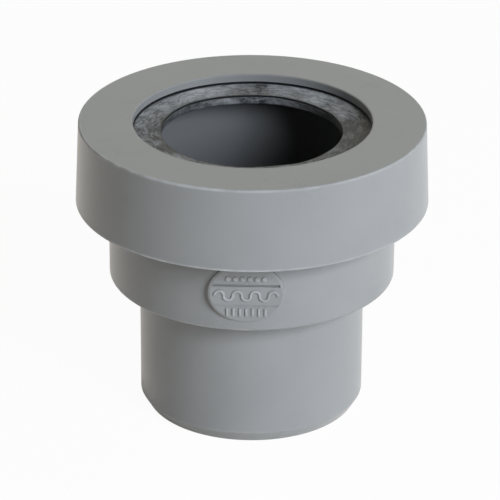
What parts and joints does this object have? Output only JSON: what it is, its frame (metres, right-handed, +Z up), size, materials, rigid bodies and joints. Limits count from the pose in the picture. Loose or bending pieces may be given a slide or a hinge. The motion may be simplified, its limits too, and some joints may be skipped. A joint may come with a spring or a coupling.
{
  "type": "lip seal pipe adapter",
  "caption": "Stepped grey PVC adapter with a glue-in spigot, a pipe socket and a rubber lip seal held under a wide welded collar.",
  "frame": {"origin": "centre of the spigot's foot, on the axis of the bore", "axes": "+Z up the bore, from the spigot to the sealed mouth; -Y towards the oval badge"},
  "size_m": [0.0624, 0.0624, 0.0537],
  "materials": {
    "grey_pvc": "satin injection moulded PVC",
    "black_rubber": "matt moulded rubber, dusted with talc"
  },
  "bodies": {
    "root": {"adapter_body": "grey_pvc", "retaining_collar": "grey_pvc", "lip_seal": "black_rubber"}
  },
  "joints": []
}
